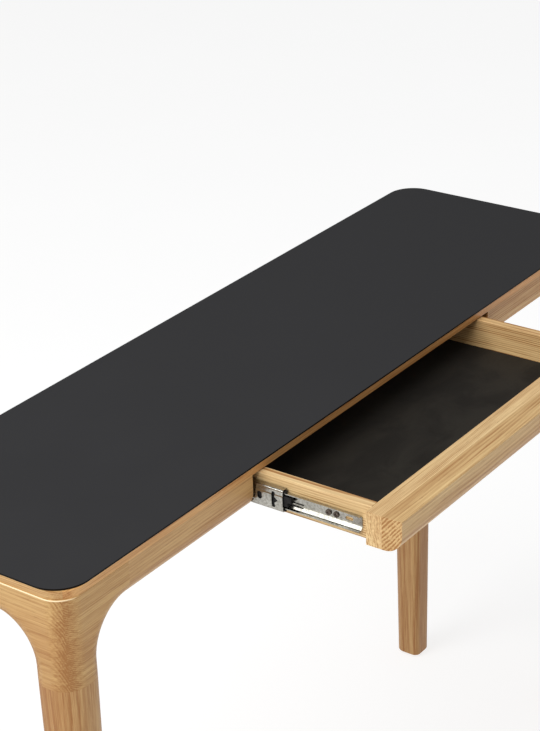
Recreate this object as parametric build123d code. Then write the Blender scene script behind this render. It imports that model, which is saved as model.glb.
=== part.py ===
from build123d import *
import os

# Console table with one drawer on ball-bearing slides, standing with the drawer open.
# Units are millimetres. X runs along the table, -Y is the drawer side, Z = 0 is the floor.
# Shapes are drawn about the middle of the table top with the drawer closed. save() then moves
# each piece to its open place and puts the origin on the floor under the middle of the whole.

# ---- driving dimensions ------------------------------------------------------------------
length = 1100.0
depth = 310.0
height = 760.0
drawer_open = 184.0

sheet_thickness = 2.0
panel_thickness = 8.0
edging_width = 24.0
sheet_corner_radius = 36.0
wood_corner_radius = 28.0
top_end_setback = 1.8

apron_height = 41.0
apron_thickness = 22.0
apron_round = 20.0
leg_width = 53.0
leg_foot_width = 40.0
leg_reach = 98.0
leg_outer_round = 26.0
leg_inner_round = 12.0
leg_straight_below_arch = 18.0
ledge_round = 1.2
glide_height = 4.0
glide_radius = 12.0

opening_half = 246.0
rail_thickness = 18.0
leg_dowel = (4.0, 18.0)
rail_dowel = (4.0, 12.0)
knee_dowel = (6.0, 28.0)
foot_pin = (1.5, 15.0)
drawer_dowel = (3.0, 10.0)
dowel_clearance = 0.1
dowel_end_gap = 1.0

slide_length = 214.0
slide_thickness = 12.7
slide_start = -101.0
steel = 1.1
outer_half_height = 17.5
middle_half_height = 13.0
inner_half_height = 9.5
inner_web_half = 5.4
inner_shoulder = 9.6
outer_flange_tip = 9.6
middle_web = 2.9
middle_emboss = 0.6
middle_emboss_half = 5.5
middle_flange_tip = 11.3
middle_start = -99.0
middle_length = 202.0
inner_flange_tip = 5.3
cage_web = 0.6
cage_strip = 1.0
outer_cage_web_at = 1.4
inner_cage_web_at = 4.3
inner_cage_arm_tip = 10.4
outer_ball_radius = 1.3
inner_ball_radius = 0.85
balls_per_row = 5
ball_pitch = 12.0
cage_length = 62.0
outer_cage_start = -50.0
inner_cage_start = -53.0

side_thickness = 12.0
front_gap = 2.0
front_top_gap = 2.0
inner_board_thickness = 19.0
outer_piece_thickness = 24.5
drawer_round = 22.0
side_top_gap = 1.5
drawer_box_length = 224.5
back_lowered = 4.0
bottom_thickness = 3.0
bottom_let_in = 6.0
liner_thickness = 0.8
liner_gap = 0.5

screw_shank_radius = 1.75
screw_head_radius = 3.4
screw_head_height = 1.6
flush_head_radius = 3.0
rail_screw_length = 13.0
side_screw_length = 9.0

# ---- worked-out places -------------------------------------------------------------------
half_length = length / 2
half_depth = depth / 2
slab_bottom = height - sheet_thickness - panel_thickness
apron_bottom = slab_bottom - apron_height
arch_radius = leg_reach - leg_width
knee = apron_bottom - arch_radius - leg_straight_below_arch
dowel_levels = (slab_bottom - 9.0, slab_bottom - 25.0)
dowel_inset = 13.0

slide_centre = apron_bottom + outer_half_height + 0.3
drawer_half = opening_half - slide_thickness
front_half = opening_half - front_gap
front_top = slab_bottom - front_top_gap
side_top = slab_bottom - side_top_gap
front_back_face = -half_depth + outer_piece_thickness + inner_board_thickness
box_back_face = front_back_face + drawer_box_length
bottom_top = apron_bottom + bottom_thickness
inner_half_width = drawer_half - side_thickness
table_y = drawer_open / 2

# share of the drawer's movement that each sliding piece makes
DRAWER, MIDDLE, INNER_CAGE, OUTER_CAGE, FIXED = 1.0, 0.5, 0.75, 0.25, 0.0


def save(name, shape, share=FIXED):
    """Write one node in its place with the drawer open."""
    placed = Pos(0, table_y - share * drawer_open, 0) * shape
    placed.label = name
    export_step(placed, "parts/" + name + ".step")


def box(x0, x1, y0, y1, z0, z1):
    """A block from its lowest to its highest corner."""
    middle = Pos((x0 + x1) / 2, (y0 + y1) / 2, (z0 + z1) / 2)
    return middle * Box(x1 - x0, y1 - y0, z1 - z0)


def rod(start, direction, length_along, radius):
    """A round bar from a point along an axis."""
    plane = Plane(origin=start, z_dir=direction)
    return extrude(plane * Circle(radius), amount=length_along)


def dowel(middle, direction, kind, bore):
    """A dowel about its middle, or the slightly longer and wider bore that takes it."""
    radius, half = kind
    if bore:
        radius += dowel_clearance
        half += dowel_end_gap
    start = Vector(*middle) - Vector(*direction) * half
    return rod(start, direction, 2 * half, radius)


def flip_x(shape):
    return mirror(shape, about=Plane.YZ)


def flip_y(shape):
    return mirror(shape, about=Plane.XZ)


def group(solids):
    """Separate solids that share one node."""
    return Compound(children=solids)


# ---- table top ---------------------------------------------------------------------------
def slab_outline(corner_radius):
    return RectangleRounded(length - 2 * top_end_setback, depth, corner_radius)


def top_sheet():
    sheet = extrude(slab_outline(sheet_corner_radius), amount=sheet_thickness)
    return Pos(0, 0, slab_bottom + panel_thickness) * sheet


def top_panel():
    across = length - 2 * top_end_setback - 2 * edging_width
    board = extrude(Rectangle(across, depth - 2 * edging_width), amount=panel_thickness)
    return Pos(0, 0, slab_bottom) * board


def edging(along_x):
    """One mitred edging strip: the front one, or the left one."""
    ex = half_length - top_end_setback
    ey = half_depth
    w = edging_width
    if along_x:
        corners = [(-ex, -ey), (ex, -ey), (ex - w, -ey + w), (-ex + w, -ey + w)]
    else:
        corners = [(-ex, -ey), (-ex + w, -ey + w), (-ex + w, ey - w), (-ex, ey)]
    strip = make_face(Polyline(corners, close=True)) & slab_outline(wood_corner_radius)
    return Pos(0, 0, slab_bottom) * extrude(strip, amount=panel_thickness)


# ---- legs and aprons ---------------------------------------------------------------------
def leg_section(width, outer_round, side_round, inner_round):
    """Leg cross-section about its centre; the outer corner of the table is at -X, -Y."""
    sketch = Rectangle(width, width)
    outer = [v for v in sketch.vertices() if v.X < 0 and v.Y < 0]
    sketch = fillet(outer, outer_round)
    sides = [v for v in sketch.vertices() if abs(v.X * v.Y + width * width / 4) < 0.01]
    sketch = fillet(sides, side_round)
    inner = [v for v in sketch.vertices() if abs(v.X - width / 2) + abs(v.Y - width / 2) < 0.01]
    return fillet(inner, inner_round)


def wing_outline():
    """Side view of the leg head: level apron run, quarter-round arch and straight shank."""
    edges = Polyline(
        (leg_width, apron_bottom - arch_radius),
        (leg_width, knee),
        (0, knee),
        (0, slab_bottom),
        (leg_reach, slab_bottom),
        (leg_reach, apron_bottom),
    )
    arch = CenterArc((leg_reach, apron_bottom - arch_radius), arch_radius, 90, 90)
    return make_face([edges, arch])


def leg_head():
    """Leg head above the shank, with its outer corner at x = y = 0 and wings along +X and +Y."""
    wing_x = extrude(Plane.XZ * wing_outline(), amount=-apron_thickness)
    wing_y = mirror(wing_x, about=Plane(origin=(0, 0, 0), z_dir=(1, -1, 0)))
    block = box(0, leg_width, 0, leg_width, knee, slab_bottom)
    head = wing_x + wing_y + block

    def on_outer_face(edge, pick):
        ends = [pick(v) for v in edge.vertices()]
        middle = edge @ 0.5
        low = middle.Z < apron_bottom - 0.01 and middle.Z > knee + 0.01
        return all(abs(e) < 0.01 for e in ends) and low

    front_chain = [e for e in head.edges() if on_outer_face(e, lambda v: v.Y) and (e @ 0.5).X > 1]
    end_chain = [e for e in head.edges() if on_outer_face(e, lambda v: v.X) and (e @ 0.5).Y > 1]
    head = fillet(front_chain + end_chain, apron_round)
    upright = [e for e in head.edges() if abs((e @ 0.5).X) < 0.01 and abs((e @ 0.5).Y) < 0.01]
    head = fillet(upright, leg_outer_round)
    upright = [e for e in head.edges()
               if abs((e @ 0.5).X - leg_width) < 0.01 and abs((e @ 0.5).Y - leg_width) < 0.01]
    head = fillet(upright, leg_inner_round)
    ledge = [e for e in head.edges()
             if abs((e @ 0.5).Z - slab_bottom) < 0.01 and min((e @ 0.5).X, (e @ 0.5).Y) < 8
             and max((e @ 0.5).X, (e @ 0.5).Y) < leg_reach - 1]
    return fillet(ledge, ledge_round)


def knee_dowel_pin(bore=False):
    """Upright dowel that ties the front left leg to both halves of its knee."""
    centre = (-half_length + leg_width / 2, -half_depth + leg_width / 2, knee)
    return dowel(centre, (0, 0, 1), knee_dowel, bore)


def leg():
    """Front left leg: a shank that tapers evenly to the foot."""
    centre = Pos(-half_length + leg_width / 2, -half_depth + leg_width / 2, 0)
    taper = leg_foot_width / leg_width
    upper = leg_section(leg_width, leg_outer_round, apron_round, leg_inner_round)
    lower = leg_section(leg_foot_width, leg_outer_round * taper, apron_round * taper,
                        leg_inner_round * taper)
    shank = loft([centre * Pos(0, 0, knee) * upper, centre * Pos(0, 0, glide_height) * lower],
                 ruled=True)
    pin_radius, pin_length = foot_pin
    pin_hole = centre * rod((0, 0, glide_height), (0, 0, 1), pin_length + 1, pin_radius + 0.1)
    return bored(shank, [knee_dowel_pin(bore=True), pin_hole])


def knee_halves():
    """Front left knee: the sculpted head above the leg, in two boards mitred at the corner."""
    head = leg_head()
    reach = leg_reach + 1
    long_side = make_face(Polyline((0, 0), (reach, reach), (reach, 0), close=True))
    long_side = Pos(0, 0, knee - 1) * extrude(long_side, amount=slab_bottom - knee + 2)
    place = Pos(-half_length, -half_depth, 0)
    holes = leg_dowels(bore=True) + [knee_dowel_pin(bore=True)]
    end_half = bored(place * (head - long_side), holes)
    long_half = bored(place * (head & long_side), holes)
    return end_half, long_half


def apron_section():
    """Apron end view: outer face at x = 0, rounded under the outer edge, in x and z."""
    face = make_face(Polyline((0, apron_bottom), (apron_thickness, apron_bottom),
                              (apron_thickness, slab_bottom), (0, slab_bottom), close=True))
    corner = [v for v in face.vertices() if abs(v.X) < 0.01 and abs(v.Y - apron_bottom) < 0.01]
    return fillet(corner, apron_round)


def apron_along_y(start, end):
    """End apron on the left; its top outer edge is eased like the legs'."""
    piece = extrude(Plane(origin=(-half_length, start, 0), x_dir=(1, 0, 0), z_dir=(0, -1, 0))
                    * apron_section(), amount=-(end - start))
    top_edge = [e for e in piece.edges()
                if abs((e @ 0.5).Z - slab_bottom) < 0.01 and abs((e @ 0.5).X + half_length) < 0.01]
    return fillet(top_edge, ledge_round)


def apron_along_x(start, end):
    """Front apron run between two places on X."""
    return extrude(Plane(origin=(start, -half_depth, 0), x_dir=(0, 1, 0), z_dir=(1, 0, 0))
                   * apron_section(), amount=end - start)


def leg_dowels(bore=False):
    """Dowels of the front left knee: two into the end apron and two into the front run."""
    x = -half_length + leg_reach
    y = -half_depth + leg_reach
    pins = []
    for level in dowel_levels:
        pins.append(dowel((x, -half_depth + dowel_inset, level), (1, 0, 0), leg_dowel, bore))
        pins.append(dowel((-half_length + dowel_inset, y, level), (0, 1, 0), leg_dowel, bore))
    return pins


def rail_dowels(bore=False):
    """Dowels of the left drawer rail: two into the front apron and two into the back one."""
    x = -opening_half - rail_thickness / 2
    inside = half_depth - apron_thickness
    return [dowel((x, y, level), (0, 1, 0), rail_dowel, bore)
            for level in dowel_levels for y in (-inside, inside)]


def bored(piece, pins):
    for pin in pins:
        piece -= pin
    return piece


def mirrored(solids, back_too=False):
    """A left set repeated on the right, and a corner set repeated at the back as well."""
    repeated = list(solids) + [flip_x(s) for s in solids]
    if back_too:
        repeated += [flip_y(s) for s in repeated]
    return repeated


def end_apron():
    reach = half_depth - leg_reach
    holes = leg_dowels(bore=True)
    return bored(apron_along_y(-reach, reach), holes + [flip_y(h) for h in holes])


def front_apron():
    holes = leg_dowels(bore=True) + rail_dowels(bore=True)
    return bored(apron_along_x(-half_length + leg_reach, -opening_half), holes)


def back_apron():
    run = half_length - leg_reach
    holes = [flip_y(h) for h in leg_dowels(bore=True)] + rail_dowels(bore=True)
    return bored(flip_y(apron_along_x(-run, run)), holes + [flip_x(h) for h in holes])


def drawer_rail():
    """Board on the left of the drawer that carries the outer slide member."""
    inside = half_depth - apron_thickness
    board = box(-opening_half - rail_thickness, -opening_half, -inside, inside, apron_bottom, slab_bottom)
    pilots = [rod(place, (-1, 0, 0), rail_screw_length + 1, screw_shank_radius)
              for place in outer_screw_places()]
    return bored(board, rail_dowels(bore=True) + pilots)


def glide():
    """Nail-on foot glide: domed disc and pin."""
    x = -half_length + leg_width / 2
    y = -half_depth + leg_width / 2
    disc = Pos(x, y, glide_height / 2) * Cylinder(glide_radius, glide_height)
    disc = fillet(disc.edges().group_by(Axis.Z)[0], 1.2)
    pin_radius, pin_length = foot_pin
    return disc + rod((x, y, glide_height), (0, 0, 1), pin_length, pin_radius)


# ---- slides (the left one; s is measured from the rail towards the drawer) ---------------
def channel(points, start, run, corner_picks, radius):
    """A rolled steel section given in s and height, run along +Y."""
    face = make_face(Polyline(points, close=True))
    corners = [v for v in face.vertices()
               if any(abs(v.X - s) < 0.01 and abs(v.Y - z) < 0.01 for s, z in corner_picks)]
    face = fillet(corners, radius)
    plane = Plane(origin=(-opening_half, start, slide_centre), x_dir=(1, 0, 0), z_dir=(0, -1, 0))
    return extrude(plane * face, amount=-run)


def outer_screw_places():
    return [(-opening_half, slide_start + d, slide_centre) for d in (37.0, 165.0)]


def inner_screw_places():
    s = -drawer_half - steel
    return [(s, slide_start + d, slide_centre) for d in (32.0, 41.5, 178.0)]


def slide_outer():
    h = outer_half_height
    tip = outer_flange_tip
    t = steel
    points = [(0, -h), (tip, -h), (tip, -h + t), (t, -h + t), (t, h - t), (tip, h - t), (tip, h), (0, h)]
    member = channel(points, slide_start, slide_length, [(0, -h), (0, h)], 1.6)
    for x, y, z in outer_screw_places():
        member -= rod((x - 1, y, z), (1, 0, 0), 4, flush_head_radius + 0.1)
    for d in (90.0, 128.0, 196.0):
        member -= rod((-opening_half - 1, slide_start + d, slide_centre), (1, 0, 0), 4, 2.6)
    return member


def slide_middle():
    h = middle_half_height
    tip = middle_flange_tip
    t = steel
    w = middle_web
    e = middle_emboss
    m = middle_emboss_half
    bend = 1.2
    points = [(w, -h), (tip, -h), (tip, -h + t), (w + t, -h + t), (w + t, -m - bend), (w + t - e, -m),
              (w + t - e, m), (w + t, m + bend), (w + t, h - t), (tip, h - t), (tip, h), (w, h),
              (w, m + bend), (w - e, m), (w - e, -m), (w, -m - bend)]
    member = channel(points, middle_start, middle_length, [(w, -h), (w, h)], 2.0)
    through = -opening_half + w - e - 1
    oval = Plane(origin=(through, middle_start + 29.5, slide_centre + 0.5), x_dir=(0, 0, 1), z_dir=(1, 0, 0))
    member -= extrude(oval * SlotOverall(9.0, 6.0), amount=5)
    waist = Plane(origin=(through, middle_start + 10.5, slide_centre), x_dir=(0, 1, 0), z_dir=(1, 0, 0))
    notch = make_face(Polyline((3.6, 3.4), (-0.4, 3.4), (-4.4, 0), (-0.4, -3.4), (3.6, -3.4), close=True))
    ears = [Pos(1.6, side * 6.2) * RectangleRounded(4.2, 6.4, 1.6) for side in (-1, 1)]
    for cut in [notch] + ears:
        member -= extrude(waist * cut, amount=5)
    return member


def slide_inner():
    h = inner_half_height
    t = steel
    back = slide_thickness
    tip = inner_flange_tip
    upper = [(back, inner_web_half), (inner_shoulder, h), (tip, h), (tip, h - t),
             (inner_shoulder - t / 2, h - t), (back - t, inner_web_half - t / 4)]
    points = upper + [(s, -z) for s, z in reversed(upper)]
    bends = [(s, side * z) for s, z in upper[:2] for side in (-1, 1)]
    member = channel(points, slide_start, slide_length, bends, 0.8)
    for x, y, z in inner_screw_places():
        member -= rod((x - 1, y, z), (1, 0, 0), 4, screw_shank_radius + 0.2)
    for d in (16.0, 120.0, 150.0):
        slot = Plane(origin=(-drawer_half - 3, slide_start + d, slide_centre), x_dir=(0, 1, 0),
                     z_dir=(1, 0, 0))
        member -= extrude(slot * SlotOverall(10.0, 4.4), amount=5)
    return member


def ball_places(s, level, start):
    first = start + (cage_length - (balls_per_row - 1) * ball_pitch) / 2
    return [(-opening_half + s, first + i * ball_pitch, slide_centre + side * level)
            for side in (-1, 1) for i in range(balls_per_row)]


def ball_cage(web_at, strip_tip, level, start, places, ball_radius):
    """Retainer strip: thin web with an arm above and below, bored for the balls."""
    x0 = -opening_half + web_at
    top = slide_centre + level
    low = slide_centre - level
    half = cage_strip / 2
    cage = box(x0, x0 + cage_web, start, start + cage_length, low - half, top + half)
    for arm in (low, top):
        cage += box(x0, -opening_half + strip_tip, start, start + cage_length, arm - half, arm + half)
    for x, y, z in places:
        cage -= rod((x, y, z - cage_strip), (0, 0, 1), 2 * cage_strip, ball_radius + 0.1)
    return cage


def flush_screw(place, direction, shank_length):
    """Flat-headed screw: its head fills the member's hole and its shank enters the wood."""
    x, y, z = place
    dx, dy, dz = direction
    head = rod(place, (-dx, -dy, -dz), steel - 0.1, flush_head_radius)
    return head + rod(place, direction, shank_length, screw_shank_radius - 0.1)


def balls(places, radius):
    return group([Pos(*place) * Sphere(radius) for place in places])


outer_ball_level = (outer_half_height - steel + middle_half_height) / 2
inner_ball_level = (middle_half_height - steel + inner_half_height) / 2
outer_balls_at = ball_places(6.2, outer_ball_level, outer_cage_start)
inner_balls_at = ball_places(8.2, inner_ball_level, inner_cage_start)


def outer_cage():
    return ball_cage(outer_cage_web_at, 8.6, outer_ball_level, outer_cage_start, outer_balls_at,
                     outer_ball_radius)


def inner_cage():
    """Retainer between middle and inner members, with a stepped lead and finger in front."""
    cage = ball_cage(inner_cage_web_at, inner_cage_arm_tip, inner_ball_level, inner_cage_start,
                     inner_balls_at, inner_ball_radius)
    x0 = -opening_half + inner_cage_web_at
    front = inner_cage_start
    lead = box(x0, x0 + 5.2, front - 9.5, front + 4, slide_centre - 0.5, slide_centre + 6.5)
    lead += box(x0, x0 + 5.2, front - 5, front + 4, slide_centre - 5.5, slide_centre - 0.5)
    lead += box(x0 + 4.2, x0 + 5.2, front - 19, front - 5, slide_centre - 4.3, slide_centre - 3.1)
    half = cage_strip / 2
    for side in (-1, 1):
        arm = slide_centre + side * inner_ball_level
        cage += box(x0, -opening_half + inner_cage_arm_tip, front - 2.5, front, arm - half, arm + half)
    return cage + lead


def pan_screw(place, direction, shank_length):
    """Pan-head screw: its head sits on the place, its shank runs along the direction."""
    x, y, z = place
    dx, dy, dz = direction
    head = rod(place, (-dx, -dy, -dz), screw_head_height, screw_head_radius)
    far = Vector(x, y, z) - Vector(dx, dy, dz) * screw_head_height
    rim = [e for e in head.edges() if ((e @ 0.25) - far).length < screw_head_radius + 0.1
           and e.geom_type == GeomType.CIRCLE]
    head = fillet(rim, 0.6)
    shank = rod(place, direction, shank_length, screw_shank_radius - 0.1)
    drive = box(-2.0, 2.0, -0.45, 0.45, -0.6, 0.6) + box(-0.45, 0.45, -2.0, 2.0, -0.6, 0.6)
    return head + shank - Plane(origin=far, z_dir=direction) * drive


# ---- drawer ------------------------------------------------------------------------------
def front_outer_piece():
    """Shaped outer part of the drawer front: flat face, large round underneath."""
    face = make_face(Polyline((0, apron_bottom), (outer_piece_thickness, apron_bottom),
                              (outer_piece_thickness, front_top), (0, front_top), close=True))
    low = [v for v in face.vertices() if abs(v.X) < 0.01 and abs(v.Y - apron_bottom) < 0.01]
    face = fillet(low, drawer_round)
    plane = Plane(origin=(-front_half, -half_depth, 0), x_dir=(0, 1, 0), z_dir=(1, 0, 0))
    piece = extrude(plane * face, amount=2 * front_half)
    top_edge = [e for e in piece.edges()
                if abs((e @ 0.5).Z - front_top) < 0.01 and abs((e @ 0.5).Y + half_depth) < 0.01]
    piece = fillet(top_edge, 1.0)
    return bored(piece, [rod(p, (0, -1, 0), 12.0, screw_shank_radius) for p in front_screw_seats()])


def front_screw_seats():
    """Where the front's screws cross from the inner board into the outer piece."""
    y = front_back_face - inner_board_thickness
    return [(x, y, apron_bottom + 22.0) for x in (-180.0, -60.0, 60.0, 180.0)]


def front_screw_heads():
    return [(x, front_back_face - 3.0, z) for x, y, z in front_screw_seats()]


def front_inner_board():
    board = box(-front_half, front_half, front_back_face - inner_board_thickness, front_back_face,
                apron_bottom, front_top)
    board -= box(-inner_half_width - bottom_let_in, inner_half_width + bottom_let_in,
                 front_back_face - bottom_let_in, front_back_face, apron_bottom, bottom_top)
    for x, y, z in front_screw_heads():
        board -= rod((x, front_back_face + 1, z), (0, -1, 0), 4.0, screw_head_radius + 0.3)
        board -= rod((x, front_back_face, z), (0, -1, 0), inner_board_thickness, screw_shank_radius)
    return bored(board, side_dowels(bore=True))


def side_dowels(bore=False):
    """Dowels from the inner board of the front into both drawer sides."""
    x = drawer_half - side_thickness / 2
    return [dowel((side * x, front_back_face, level), (0, 1, 0), drawer_dowel, bore)
            for side in (-1, 1) for level in (apron_bottom + 12.0, side_top - 9.0)]


def back_dowels(bore=False):
    """Dowels from both drawer sides into the ends of the drawer back."""
    x = inner_half_width - 2.0
    y = box_back_face - side_thickness / 2
    return [dowel((side * x, y, level), (side, 0, 0), drawer_dowel, bore)
            for side in (-1, 1) for level in (apron_bottom + 12.0, side_top - back_lowered - 9.0)]


def drawer_side():
    """Left side, rebated underneath for the bottom and bored for the slide screws."""
    board = box(-drawer_half, -inner_half_width, front_back_face, box_back_face, apron_bottom, side_top)
    board -= box(-inner_half_width - bottom_let_in, -inner_half_width, front_back_face, box_back_face,
                 apron_bottom, bottom_top)
    top_edges = [e for e in board.edges().filter_by(Axis.Y) if abs((e @ 0.5).Z - side_top) < 0.01]
    board = fillet(top_edges, 1.0)
    pilots = [rod(place, (1, 0, 0), side_screw_length + steel + 1, screw_shank_radius)
              for place in inner_screw_places()]
    return bored(board, side_dowels(bore=True) + back_dowels(bore=True) + pilots)


def drawer_back():
    board = box(-inner_half_width, inner_half_width, box_back_face - side_thickness, box_back_face,
                bottom_top, side_top - back_lowered)
    top_edges = [e for e in board.edges().filter_by(Axis.X)
                 if abs((e @ 0.5).Z - side_top + back_lowered) < 0.01]
    board = fillet(top_edges, 1.0)
    pilots = [rod(place, (0, 0, 1), 11.0, 1.2) for place in bottom_screw_places()]
    return bored(board, back_dowels(bore=True) + pilots)


def bottom_screw_places():
    y = box_back_face - side_thickness / 2
    return [(x, y, bottom_top) for x in (-150.0, 0.0, 150.0)]


def drawer_bottom():
    reach = inner_half_width + bottom_let_in
    panel = box(-reach, reach, front_back_face - bottom_let_in, box_back_face, apron_bottom, bottom_top)
    return bored(panel, [rod((x, y, apron_bottom - 1), (0, 0, 1), 6.0, 3.0)
                         for x, y, z in bottom_screw_places()])


def bottom_screws():
    """Flat-headed screws up through the bottom into the drawer back."""
    screws = []
    for x, y, z in bottom_screw_places():
        head = rod((x, y, apron_bottom + 0.5), (0, 0, 1), bottom_thickness - 0.5, 2.8)
        screws.append(head + rod((x, y, bottom_top), (0, 0, 1), 10.0, 1.1))
    return group(screws)


def drawer_liner():
    reach = inner_half_width - liner_gap
    return box(-reach, reach, front_back_face + liner_gap, box_back_face - side_thickness - liner_gap,
               bottom_top, bottom_top + liner_thickness)


# ---- write the nodes ---------------------------------------------------------------------
os.makedirs("parts", exist_ok=True)

save("top_sheet", top_sheet())
save("top_panel", top_panel())
save("edging_front", edging(True))
save("edging_back", flip_y(edging(True)))
save("edging_left", edging(False))
save("edging_right", flip_x(edging(False)))

corners = {
    "front_left": lambda shape: shape,
    "front_right": flip_x,
    "back_left": flip_y,
    "back_right": lambda shape: flip_x(flip_y(shape)),
}
corner_leg = leg()
knee_end, knee_long = knee_halves()
for corner, place in corners.items():
    save("leg_" + corner, place(corner_leg))
    save("knee_end_" + corner, place(knee_end))
    save("knee_long_" + corner, place(knee_long))
save("knee_dowels", group(mirrored([knee_dowel_pin()], back_too=True)))
save("foot_glides", group(mirrored([glide()], back_too=True)))

save("apron_left", end_apron())
save("apron_right", flip_x(end_apron()))
save("apron_front_left", front_apron())
save("apron_front_right", flip_x(front_apron()))
save("apron_back", back_apron())
save("drawer_rail_left", drawer_rail())
save("drawer_rail_right", flip_x(drawer_rail()))
save("leg_dowels", group(mirrored(leg_dowels(), back_too=True)))
save("rail_dowels", group(mirrored(rail_dowels())))

rail_screws = [flush_screw(place, (-1, 0, 0), rail_screw_length) for place in outer_screw_places()]
side_screws = [pan_screw(place, (1, 0, 0), side_screw_length + steel) for place in inner_screw_places()]
save("slide_screws_rail", group(mirrored(rail_screws)))
save("slide_screws_drawer", group(mirrored(side_screws)), DRAWER)

for side, place in (("left", lambda shape: shape), ("right", flip_x)):
    save("slide_outer_" + side, place(slide_outer()))
    save("slide_middle_" + side, place(slide_middle()), MIDDLE)
    save("slide_inner_" + side, place(slide_inner()), DRAWER)
    save("cage_outer_" + side, place(outer_cage()), OUTER_CAGE)
    save("cage_inner_" + side, place(inner_cage()), INNER_CAGE)
    save("balls_outer_" + side, place(balls(outer_balls_at, outer_ball_radius)), OUTER_CAGE)
    save("balls_inner_" + side, place(balls(inner_balls_at, inner_ball_radius)), INNER_CAGE)
    save("drawer_side_" + side, place(drawer_side()), DRAWER)

save("drawer_front_outer", front_outer_piece(), DRAWER)
save("drawer_front_inner", front_inner_board(), DRAWER)
save("drawer_back", drawer_back(), DRAWER)
save("drawer_bottom", drawer_bottom(), DRAWER)
save("drawer_liner", drawer_liner(), DRAWER)
save("drawer_dowels", group(side_dowels() + back_dowels()), DRAWER)
save("front_screws", group([pan_screw(place, (0, -1, 0), 27.0) for place in front_screw_heads()]), DRAWER)
save("bottom_screws", bottom_screws(), DRAWER)
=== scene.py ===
import math

import bpy
from mathutils import Matrix, Vector


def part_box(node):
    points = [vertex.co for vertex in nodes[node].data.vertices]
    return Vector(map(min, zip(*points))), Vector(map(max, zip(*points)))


# Looks of the console table: lacquered oak frame and drawer, charcoal linoleum top, dark drawer
# liner and zinc-plated slides. The stage is in metres; places, spacings and scales inside the
# materials are in millimetres.

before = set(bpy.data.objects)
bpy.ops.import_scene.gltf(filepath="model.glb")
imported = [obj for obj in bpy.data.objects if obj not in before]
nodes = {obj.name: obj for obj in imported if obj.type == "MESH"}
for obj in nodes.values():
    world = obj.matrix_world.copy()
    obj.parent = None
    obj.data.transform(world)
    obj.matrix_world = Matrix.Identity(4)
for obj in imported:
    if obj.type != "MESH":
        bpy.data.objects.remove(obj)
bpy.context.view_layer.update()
scene = bpy.context.scene

X, Y, Z = (1, 0, 0), (0, 1, 0), (0, 0, 1)
WHITE = (1.0, 1.0, 1.0, 1.0)

# Places taken from the frame: the middle of the top, and the foot of its edging.
sheet_low, sheet_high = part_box("top_sheet")
TABLE_CENTRE = Vector(((sheet_low.x + sheet_high.x) / 2, (sheet_low.y + sheet_high.y) / 2, sheet_low.z))
LEDGE_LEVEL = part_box("edging_left")[0].z * 1000


# ---- node helpers ------------------------------------------------------------------------
class Graph:
    """Writes a shader node tree as expressions."""

    def __init__(self, tree):
        self.tree = tree

    def node(self, kind, **settings):
        made = self.tree.nodes.new(kind)
        for name, value in settings.items():
            setattr(made, name, value)
        return made

    def put(self, socket, value):
        """Link a socket into another, or set a constant on it."""
        if isinstance(value, bpy.types.NodeSocket):
            self.tree.links.new(value, socket)
        else:
            socket.default_value = value

    def fill(self, node, values):
        """Put several values into a node's named inputs."""
        for name, value in values.items():
            self.put(node.inputs[name], value)

    def math(self, operation, a, b=0.0, clamp=False):
        made = self.node("ShaderNodeMath", operation=operation, use_clamp=clamp)
        self.put(made.inputs[0], a)
        self.put(made.inputs[1], b)
        return made.outputs[0]

    def add(self, a, b):
        return self.math("ADD", a, b)

    def times(self, a, b):
        return self.math("MULTIPLY", a, b)

    def vector(self, operation, a, b):
        made = self.node("ShaderNodeVectorMath", operation=operation)
        self.put(made.inputs[0], a)
        self.put(made.inputs[1], b)
        return made.outputs["Value" if operation == "DOT_PRODUCT" else "Vector"]

    def dot(self, a, b):
        return self.vector("DOT_PRODUCT", a, b)

    def scaled(self, vector, factors):
        return self.vector("MULTIPLY", vector, factors)

    def noise(self, vector, scale=1.0, detail=2.0, roughness=0.5, distortion=0.0):
        made = self.node("ShaderNodeTexNoise", noise_dimensions="3D", normalize=True)
        self.fill(made, {"Vector": vector, "Scale": scale, "Detail": detail, "Roughness": roughness,
                         "Distortion": distortion})
        return made.outputs[0]

    def voronoi(self, vector, scale=1.0, feature="F1", output="Distance"):
        made = self.node("ShaderNodeTexVoronoi", feature=feature)
        self.fill(made, {"Vector": vector, "Scale": scale})
        return made.outputs[output]

    def ramp(self, value, low, high, to_low=0.0, to_high=1.0, smooth=True):
        """Value taken from low..high to to_low..to_high, held at both ends."""
        made = self.node("ShaderNodeMapRange", interpolation_type="SMOOTHSTEP" if smooth else "LINEAR")
        for socket, number in zip(made.inputs, (value, low, high, to_low, to_high)):
            self.put(socket, number)
        return made.outputs[0]

    def mix(self, share, a, b, blend="MIX"):
        made = self.node("ShaderNodeMix", data_type="RGBA", blend_type=blend)
        self.fill(made, {"Factor": share, "A": a, "B": b})
        return made.outputs["Result"]

    def bump(self, height, distance, strength):
        made = self.node("ShaderNodeBump")
        self.fill(made, {"Strength": strength, "Distance": distance, "Height": height})
        return made.outputs[0]

    def facing(self):
        return self.node("ShaderNodeTexCoord").outputs["Normal"]


def colour(red, green, blue):
    """A linear colour from display values of 0 to 255."""
    def linear(value):
        share = value / 255
        return share / 12.92 if share <= 0.04045 else ((share + 0.055) / 1.055) ** 2.4
    return (linear(red), linear(green), linear(blue), 1.0)


def new_material(name):
    """An empty material with its shader: (material, graph, shader, object position in mm)."""
    material = bpy.data.materials.new(name)
    material.use_nodes = True
    material.node_tree.nodes.clear()
    graph = Graph(material.node_tree)
    shader = graph.node("ShaderNodeBsdfPrincipled")
    output = graph.node("ShaderNodeOutputMaterial")
    graph.put(output.inputs["Surface"], shader.outputs["BSDF"])
    place = graph.node("ShaderNodeTexCoord").outputs["Object"]
    return material, graph, shader, graph.scaled(place, (1000, 1000, 1000))


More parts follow.
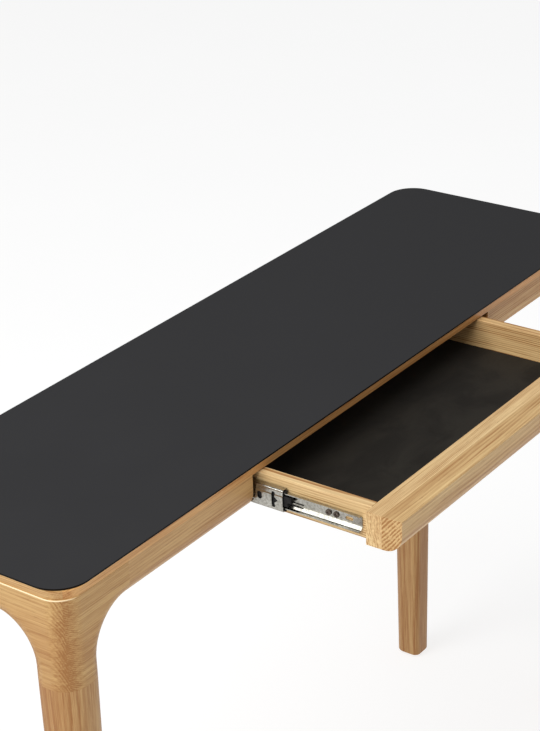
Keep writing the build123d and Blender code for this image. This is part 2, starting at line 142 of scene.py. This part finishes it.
def wear(node, material):
    """Give a CAD node one material."""
    mesh = nodes[node].data
    mesh.materials.clear()
    mesh.materials.append(material)


# ---- oak ---------------------------------------------------------------------------------
OAK_PALE = colour(218, 183, 126)
OAK_DEEP = colour(158, 108, 58)
OAK_PORE = colour(118, 80, 42)
OAK_ROSY = colour(204, 158, 102)
# Pale cream of the painted highlight line under the table top's edging.
OAK_PAINTED_HIGHLIGHT = colour(246, 228, 190)
EDGING_TINT = (1.12, 0.98, 0.88, 1.0)
KNEE_TINT = (0.98, 0.965, 0.90, 1.0)
DRAWER_TINT = (1.14, 1.24, 1.44, 1.0)
RIGHT_SIDE_TINT = (1.12, 1.15, 1.24, 1.0)
OUTER_FRONT_TINT = (1.05, 1.10, 1.18, 1.0)
# End grain: how much deeper it is, and how much stronger its rings are.
PLAIN_END = (0.25, 0.3)
KNEE_END = (0.32, 0.75)
INNER_FRONT_END = (-0.02, 0.9)
OUTER_FRONT_END = (-0.06, 1.9)
# Board places are moved this far per seed, so that no two boards share a figure.
SEED_SHIFT = (731.0, 57.3, 91.7)
# The painted highlight line along the ledge fades in between these depths below it.
PAINTED_HIGHLIGHT_FADE = (1.3, 0.6)


def oak_figure():
    """Shared group: solid oak from a place in the board (x along the grain, y across the rings)."""
    group = bpy.data.node_groups.new("oak_figure", "ShaderNodeTree")
    face = group.interface
    face.new_socket("Place", in_out="INPUT", socket_type="NodeSocketVector")
    for name in ("Ring spacing", "Ring strength", "Deepen"):
        face.new_socket(name, in_out="INPUT", socket_type="NodeSocketFloat")
    face.new_socket("Color", in_out="OUTPUT", socket_type="NodeSocketColor")
    for name in ("Height", "Roughness"):
        face.new_socket(name, in_out="OUTPUT", socket_type="NodeSocketFloat")
    g = Graph(group)
    given = g.node("NodeGroupInput").outputs
    result = g.node("NodeGroupOutput")
    place = given["Place"]

    def stretched(along, across, deep=None):
        return g.scaled(place, (along, across, across if deep is None else deep))

    # Year rings: even steps across the board that sway slowly along it. Each ring starts sharply
    # with its early wood, fades, and has its own strength.
    sway = g.math("SUBTRACT", g.noise(stretched(0.0035, 0.018), detail=1.0), 0.5)
    wobble = g.math("SUBTRACT", g.noise(stretched(0.012, 0.10)), 0.5)
    ring_place = g.node("ShaderNodeSeparateXYZ")
    g.put(ring_place.inputs[0], place)
    across = g.add(ring_place.outputs["Y"], g.add(g.times(sway, 10.0), g.times(wobble, 1.5)))
    phase = g.math("DIVIDE", across, given["Ring spacing"])
    in_ring = g.math("FRACT", phase)
    rises = g.ramp(in_ring, 0.0, 0.08)
    falls = g.ramp(in_ring, 0.24, 0.72, 1.0, 0.0)
    each = g.node("ShaderNodeTexWhiteNoise", noise_dimensions="1D")
    g.put(each.inputs["W"], g.math("FLOOR", phase))
    patch = g.ramp(g.noise(stretched(0.012, 0.22)), 0.34, 0.66, 0.25, 1.0)
    year = g.times(g.ramp(each.outputs["Value"], 0.0, 1.0, 0.25, 1.0, smooth=False), patch)
    early = g.times(g.times(rises, falls), year)

    # Fibres, wider strands, pores in the early wood, ray flecks and broad drifts of colour.
    fibre = g.noise(stretched(0.022, 1.05), detail=4.0, roughness=0.62)
    strand = g.noise(stretched(0.006, 0.34), detail=3.0, roughness=0.55)
    broad = g.noise(stretched(0.0028, 0.030))
    hue = g.noise(g.vector("ADD", stretched(0.0022, 0.022), (41.0, 7.0, 19.0)), detail=1.0)
    vessel = g.noise(stretched(0.075, 1.9))
    pore = g.times(g.ramp(vessel, 0.60, 0.70), g.add(g.times(early, 0.8), 0.22))
    ray = g.ramp(g.noise(stretched(0.10, 0.16, 1.7), detail=1.0), 0.66, 0.76)

    streak = g.ramp(fibre, 0.30, 0.72)
    lines = g.ramp(strand, 0.32, 0.70)
    depth = g.add(g.times(early, given["Ring strength"]), g.times(streak, 0.34))
    depth = g.add(depth, g.times(lines, 0.30))
    depth = g.add(depth, g.ramp(broad, 0.28, 0.72, -0.16, 0.16))
    depth = g.math("ADD", depth, given["Deepen"], clamp=True)
    wood = g.mix(g.ramp(hue, 0.35, 0.70, 0.0, 0.55), OAK_PALE, OAK_ROSY)
    wood = g.mix(depth, wood, OAK_DEEP)
    wood = g.mix(g.times(ray, 0.16), wood, OAK_PALE)
    wood = g.mix(g.times(pore, 0.75), wood, OAK_PORE)
    height = g.math("SUBTRACT", g.times(streak, -0.25), g.times(pore, 0.9))
    g.fill(result, {
        "Color": wood,
        "Height": g.math("SUBTRACT", height, g.times(early, 0.25)),
        "Roughness": g.add(g.ramp(fibre, 0.3, 0.7, 0.40, 0.50), g.times(pore, 0.22)),
    })
    return group


OAK_FIGURE = oak_figure()


def board_place(graph, place, grain, rings, seed):
    """Turn a place in the frame into one in the board: along the grain, across the rings, third."""
    along = Vector(grain).normalized()
    across = Vector(rings).normalized()
    turned = graph.node("ShaderNodeCombineXYZ")
    for socket, axis in zip(turned.inputs, (along, across, along.cross(across))):
        graph.put(socket, graph.dot(place, tuple(axis)))
    return graph.vector("ADD", turned.outputs[0], tuple(seed * shift for shift in SEED_SHIFT))


def painted_ledge_highlight(graph, place, facing, wood):
    """Painted highlight: a pale line where the ends of the frame step out under the table top, standing in
    for light caught on the rounded edge of the ledge.
    """
    low, high = (LEDGE_LEVEL - below for below in PAINTED_HIGHLIGHT_FADE)
    near_ledge = graph.ramp(graph.dot(place, Z), low, high)
    endways = graph.ramp(graph.math("ABSOLUTE", graph.dot(facing, X)), 0.08, 0.40)
    return graph.mix(graph.times(graph.times(near_ledge, endways), 0.8), wood, OAK_PAINTED_HIGHLIGHT)


def oak_board(node, grain, rings, seed, spacing, strength, deepen=0.0, end=PLAIN_END, tint=WHITE,
              painted_highlight=False):
    """Give a node its own lacquered oak.

    grain runs along the fibres and rings across the year rings; strength is how dark the rings are
    and deepen darkens the whole board; painted_highlight adds the painted highlight line at the ledge.
    """
    material, graph, shader, place = new_material("oak_" + node)
    facing = graph.facing()
    along = tuple(Vector(grain).normalized())
    on_end = graph.ramp(graph.math("ABSOLUTE", graph.dot(facing, along)), 0.15, 0.85)
    made = graph.node("ShaderNodeGroup", node_tree=OAK_FIGURE)
    graph.fill(made, {
        "Place": board_place(graph, place, grain, rings, seed),
        "Ring spacing": spacing,
        "Ring strength": graph.add(graph.times(on_end, end[1]), strength),
        "Deepen": graph.add(graph.times(on_end, end[0]), deepen),
    })
    figure = made.outputs
    wood = graph.mix(1.0, figure["Color"], tint, "MULTIPLY")
    # Painted highlight: a pale line along the ledge on the end faces.
    if painted_highlight:
        wood = painted_ledge_highlight(graph, place, facing, wood)
    graph.fill(shader, {
        "Base Color": wood,
        "Roughness": figure["Roughness"],
        "Normal": graph.bump(figure["Height"], 0.00012, 0.55),
        "Specular IOR Level": 0.30,
        "Coat Weight": 0.08,
        "Coat Roughness": 0.24,
    })
    wear(node, material)


oak_board("edging_front", X, (0, 0.5, 1), 1, 2.2, 0.45, 0.14, tint=EDGING_TINT)
oak_board("edging_back", X, (0, 0.4, 1), 2, 2.4, 0.45)
oak_board("edging_left", Y, (0.4, 0, 1), 3, 2.3, 0.45, 0.12)
oak_board("edging_right", Y, (-0.4, 0, 1), 4, 2.3, 0.45)
oak_board("apron_front_left", X, (0, 0.55, 1), 5, 3.2, 0.45, 0.18)
oak_board("apron_front_right", X, (0, 0.3, 1), 6, 2.9, 0.6, 0.30)
oak_board("apron_back", X, (0, -0.4, 1), 7, 3.0, 0.5)
# The end aprons and knees carry the painted highlight line along the ledge.
oak_board("apron_left", Y, (0.35, 0, 1), 8, 3.0, 0.45, painted_highlight=True)
oak_board("apron_right", Y, (-0.5, 0, 1), 9, 3.1, 0.45, painted_highlight=True)
corners = {"front_left": (-1, -1), "front_right": (1, -1), "back_left": (-1, 1), "back_right": (1, 1)}
for number, (corner, (side_x, side_y)) in enumerate(corners.items()):
    # The legs' deepen of 0.44 is painted shade: it darkens them for the shade under the table top.
    oak_board("leg_" + corner, Z, (side_x, 0.45 * side_y, 0), 11 + number, 4.2, 0.35, 0.44)
    oak_board("knee_end_" + corner, Y, (0.9, 0, -0.30 * side_x), 21 + 2 * number, 1.8, 0.22, 0.20,
              KNEE_END, KNEE_TINT, painted_highlight=True)
    oak_board("knee_long_" + corner, X, (0, 0.8 * side_y, 0.9), 22 + 2 * number, 1.8, 0.22, 0.20,
              KNEE_END, KNEE_TINT, painted_highlight=True)
oak_board("drawer_rail_left", Y, (1, 0, 0.3), 31, 3.0, 0.5, 0.10)
oak_board("drawer_rail_right", Y, (1, 0, -0.3), 32, 3.0, 0.5, 0.10)
oak_board("drawer_side_left", Y, (0.25, 0, 1), 33, 2.7, 1.7, -0.24, tint=DRAWER_TINT)
oak_board("drawer_side_right", Y, (-0.3, 0, 1), 34, 2.4, 1.4, -0.12, tint=RIGHT_SIDE_TINT)
oak_board("drawer_back", X, (0, 0.3, 1), 35, 3.0, 0.7, -0.10, tint=DRAWER_TINT)
oak_board("drawer_front_inner", X, (0, 1, 0.08), 36, 1.9, 0.6, -0.10, INNER_FRONT_END, DRAWER_TINT)
oak_board("drawer_front_outer", X, (0, 0.77, 0.64), 37, 3.4, 0.55, 0.05, OUTER_FRONT_END, OUTER_FRONT_TINT)


# ---- other wood --------------------------------------------------------------------------
def core_board(name):
    """Pressed fibre core: pale brown with fine flakes."""
    material, graph, shader, place = new_material(name)
    tone = graph.node("ShaderNodeSeparateXYZ")
    graph.put(tone.inputs[0], graph.voronoi(graph.scaled(place, (0.8, 0.8, 2.4)), output="Color"))
    flake = tone.outputs[0]
    mottle = graph.noise(place, 0.12, 3.0)
    depth = graph.add(graph.times(flake, 0.45), graph.ramp(mottle, 0.3, 0.7, 0.0, 0.5))
    graph.fill(shader, {
        "Base Color": graph.mix(depth, colour(186, 152, 108), colour(142, 108, 70)),
        "Roughness": graph.ramp(mottle, 0.3, 0.7, 0.68, 0.82),
        "Normal": graph.bump(flake, 0.0001, 0.4),
    })
    return material


def hardboard(name):
    """Brown pressed board with the print of a fine wire cloth."""
    material, graph, shader, place = new_material(name)
    wave_x, wave_y = (graph.math("SINE", graph.times(graph.dot(place, axis), 4.2)) for axis in (X, Y))
    fibres = graph.noise(graph.scaled(place, (0.5, 0.9, 0.9)), 1.0, 4.0, 0.6)
    cloud = graph.noise(place, 0.02)
    depth = graph.add(graph.ramp(fibres, 0.3, 0.7, 0.0, 0.6), graph.ramp(cloud, 0.3, 0.7, -0.1, 0.3))
    graph.fill(shader, {
        "Base Color": graph.mix(depth, colour(150, 112, 74), colour(104, 72, 46)),
        "Roughness": graph.ramp(fibres, 0.3, 0.7, 0.6, 0.75),
        "Normal": graph.bump(graph.times(wave_x, wave_y), 0.00008, 0.5),
    })
    return material


def beech(name):
    """Plain pale beech with short flecks."""
    material, graph, shader, place = new_material(name)
    flecks = graph.noise(place, 1.26, 3.0, 0.6)
    graph.fill(shader, {
        "Base Color": graph.mix(graph.ramp(flecks, 0.4, 0.7), colour(214, 178, 134), colour(176, 132, 88)),
        "Roughness": graph.ramp(flecks, 0.3, 0.7, 0.55, 0.7),
        "Normal": graph.bump(flecks, 0.0001, 0.5),
    })
    return material


wear("top_panel", core_board("core_board"))
wear("drawer_bottom", hardboard("hardboard"))
dowel_wood = beech("beech_dowel")
for name in ("leg_dowels", "rail_dowels", "drawer_dowels", "knee_dowels"):
    wear(name, dowel_wood)


# ---- linoleum top and drawer liner -------------------------------------------------------
LINO_LOW = (0.0276, 0.0276, 0.0294, 1.0)
LINO_HIGH = (0.0306, 0.0306, 0.0324, 1.0)
LINO_EDGE = (0.0040, 0.0038, 0.0036, 1.0)
LINER_DEEP = colour(26, 23, 19)
LINER_RUBBED = colour(36, 33, 28)
LINER_SPECK = colour(13, 11, 9)


def linoleum(name):
    """Charcoal furniture linoleum: very matt and even, with a darker sealed edge."""
    material, graph, shader, place = new_material(name)
    grain = graph.noise(place, 1.6, 3.0, 0.6)
    cloud = graph.noise(place, 0.010, 3.0)
    mottle = graph.add(graph.times(grain, 0.5), graph.times(cloud, 0.5))
    top = graph.mix(graph.ramp(mottle, 0.35, 0.65), LINO_LOW, LINO_HIGH)
    upward = graph.ramp(graph.dot(graph.facing(), Z), 0.2, 0.8)
    graph.fill(shader, {
        "Base Color": graph.mix(upward, LINO_EDGE, top),
        "Roughness": graph.ramp(mottle, 0.3, 0.7, 0.58, 0.70),
        "Normal": graph.bump(grain, 0.00005, 0.35),
        "Specular IOR Level": 0.12,
    })
    return material


def liner(name):
    """Near-black brown leather sheet with fine pebbling and soft rubbed patches."""
    material, graph, shader, place = new_material(name)
    pebble = graph.voronoi(place, 0.9, feature="SMOOTH_F1")
    fine = graph.noise(place, 2.2, 3.0, 0.6)
    smudge = graph.noise(graph.scaled(place, (0.012, 0.02, 0.02)), 1.0, 4.0, 0.55, 0.6)
    base = graph.mix(graph.ramp(smudge, 0.36, 0.70), LINER_DEEP, LINER_RUBBED)
    graph.fill(shader, {
        "Base Color": graph.mix(graph.ramp(fine, 0.55, 0.8, 0.0, 0.5), base, LINER_SPECK),
        "Roughness": graph.ramp(smudge, 0.3, 0.7, 0.74, 0.60),
        "Normal": graph.bump(pebble, 0.00015, 0.4),
        "Specular IOR Level": 0.12,
        "Sheen Weight": 0.04,
    })
    return material


wear("top_sheet", linoleum("linoleum"))
wear("drawer_liner", liner("leather_liner"))


# ---- metal and plastic -------------------------------------------------------------------
def steel(name, pale, dark, rough, drawn=Z):
    """Bright or zinc-plated steel: faint crystal mottle, and fine lines along the way it was drawn."""
    material, graph, shader, place = new_material(name)
    lines = board_place(graph, place, drawn, X if drawn == Z else Z, 3)
    drawn_lines = graph.noise(graph.scaled(lines, (0.02, 2.4, 2.4)), 1.0, 3.0, 0.6)
    mottle = graph.noise(place, 0.35, 4.0, 0.65)
    stain = graph.noise(place, 0.06)
    depth = graph.add(graph.ramp(mottle, 0.35, 0.7, 0.0, 0.6), graph.ramp(stain, 0.4, 0.7, 0.0, 0.4))
    graph.fill(shader, {
        "Base Color": graph.mix(depth, pale, dark),
        "Roughness": graph.add(graph.ramp(mottle, 0.3, 0.7, rough, rough + 0.14),
                               graph.ramp(drawn_lines, 0.3, 0.7, -0.05, 0.05)),
        "Normal": graph.bump(drawn_lines, 0.00003, 0.35),
        "Metallic": 1.0,
    })
    return material


def black_plastic(name, tone):
    """Moulded black plastic with a fine eroded texture."""
    material, graph, shader, place = new_material(name)
    erode = graph.noise(place, 3.0, 3.0, 0.6)
    flow = graph.noise(place, 0.25)
    worn = (*(2.2 * part for part in tone[:3]), 1.0)
    graph.fill(shader, {
        "Base Color": graph.mix(graph.ramp(flow, 0.35, 0.75), tone, worn),
        "Roughness": graph.ramp(erode, 0.3, 0.7, 0.42, 0.58),
        "Normal": graph.bump(erode, 0.00005, 0.4),
        "Specular IOR Level": 0.25,
    })
    return material


slide_steel = steel("zinc_plated_steel", (0.47, 0.46, 0.42, 1.0), (0.25, 0.242, 0.21, 1.0), 0.13, Y)
screw_steel = steel("zinc_screw", (0.60, 0.60, 0.58, 1.0), (0.42, 0.41, 0.39, 1.0), 0.28)
dark_screw = steel("black_zinc_screw", (0.19, 0.155, 0.130, 1.0), (0.055, 0.047, 0.041, 1.0), 0.26)
ball_steel = steel("ball_steel", (0.78, 0.78, 0.78, 1.0), (0.66, 0.66, 0.66, 1.0), 0.10)
cage_plastic = black_plastic("cage_plastic", (0.005, 0.005, 0.0055, 1.0))
for side in ("left", "right"):
    for member in ("outer", "middle", "inner"):
        wear("slide_" + member + "_" + side, slide_steel)
    for row in ("outer", "inner"):
        wear("cage_" + row + "_" + side, cage_plastic)
        wear("balls_" + row + "_" + side, ball_steel)
wear("slide_screws_drawer", dark_screw)
for name in ("slide_screws_rail", "front_screws", "bottom_screws"):
    wear(name, screw_steel)
wear("foot_glides", black_plastic("glide_plastic", (0.050, 0.047, 0.043, 1.0)))


# ---- floor, light and camera -------------------------------------------------------------
FLOOR_HALF_SIDE = 20.0
FLOOR_LOW = (0.30, 0.30, 0.30, 1.0)
FLOOR_HIGH = (0.32, 0.32, 0.32, 1.0)
FLOOR_GLOW = 0.78
SKY_FILL = 0.36
SKY_SEEN = 1.0
KEY_DIRECTION = (-0.62, 0.05, 0.78)
KEY_DISTANCE = 3.2
KEY_SIDE = 3.3
KEY_POWER = 120.0
CAMERA_PLACE = Vector((-1.719974, -1.274268, 1.003290))
CAMERA_YAW = math.radians(53.492)
CAMERA_PITCH = math.radians(25.545)
CAMERA_ROLL = math.radians(2.140)
CAMERA_LENS = 98.655
CAMERA_SENSOR = 36.0


def studio_floor():
    """Plain white floor, bright enough to run into the background."""
    mesh = bpy.data.meshes.new("studio_floor")
    half = FLOOR_HALF_SIDE
    mesh.from_pydata([(-half, -half, 0), (half, -half, 0), (half, half, 0), (-half, half, 0)], [],
                     [(0, 1, 2, 3)])
    floor = bpy.data.objects.new("studio_floor", mesh)
    scene.collection.objects.link(floor)
    material, graph, shader, place = new_material("studio_floor")
    graph.fill(shader, {
        "Base Color": graph.mix(graph.noise(place, 0.002), FLOOR_LOW, FLOOR_HIGH),
        "Roughness": 0.9,
        "Specular IOR Level": 0.1,
        "Emission Color": WHITE,
        "Emission Strength": FLOOR_GLOW,
    })
    mesh.materials.append(material)


def sky():
    """Even white surround; what lights the table is dimmer than what is seen behind it."""
    world = bpy.data.worlds.new("studio")
    world.use_nodes = True
    world.node_tree.nodes.clear()
    graph = Graph(world.node_tree)
    seen = graph.node("ShaderNodeLightPath").outputs["Is Camera Ray"]
    background = graph.node("ShaderNodeBackground")
    graph.fill(background, {
        "Color": WHITE,
        "Strength": graph.ramp(seen, 0.0, 1.0, SKY_FILL, SKY_SEEN, smooth=False),
    })
    output = graph.node("ShaderNodeOutputWorld")
    graph.put(output.inputs["Surface"], background.outputs[0])
    scene.world = world


def key_light():
    """One big soft light above the table's left end, looking at the middle of its top."""
    data = bpy.data.lights.new("key_softbox", "AREA")
    data.shape = "SQUARE"
    data.size = KEY_SIDE
    data.energy = KEY_POWER
    light = bpy.data.objects.new("key_softbox", data)
    towards = Vector(KEY_DIRECTION).normalized()
    light.location = TABLE_CENTRE + towards * KEY_DISTANCE
    light.rotation_mode = "QUATERNION"
    light.rotation_quaternion = towards.to_track_quat("Z", "Y")
    scene.collection.objects.link(light)


def photo_camera():
    """Camera at the photograph's angle.

    Yaw turns from +Y towards +X, pitch is downwards, and the place is from the middle of the top.
    """
    data = bpy.data.cameras.new("camera")
    data.sensor_width = CAMERA_SENSOR
    data.lens = CAMERA_LENS
    data.clip_start = 0.05
    data.clip_end = 60.0
    camera = bpy.data.objects.new("camera", data)
    forward = Vector((math.sin(CAMERA_YAW) * math.cos(CAMERA_PITCH),
                      math.cos(CAMERA_YAW) * math.cos(CAMERA_PITCH), -math.sin(CAMERA_PITCH)))
    level = Vector((math.cos(CAMERA_YAW), -math.sin(CAMERA_YAW), 0.0))
    down = forward.cross(level)
    right = level * math.cos(CAMERA_ROLL) + down * math.sin(CAMERA_ROLL)
    below = down * math.cos(CAMERA_ROLL) - level * math.sin(CAMERA_ROLL)
    turn = Matrix((right, -below, -forward)).transposed().to_4x4()
    camera.matrix_world = Matrix.Translation(TABLE_CENTRE + CAMERA_PLACE) @ turn
    scene.collection.objects.link(camera)
    scene.camera = camera


studio_floor()
sky()
key_light()
photo_camera()
scene.view_settings.view_transform = "Standard"
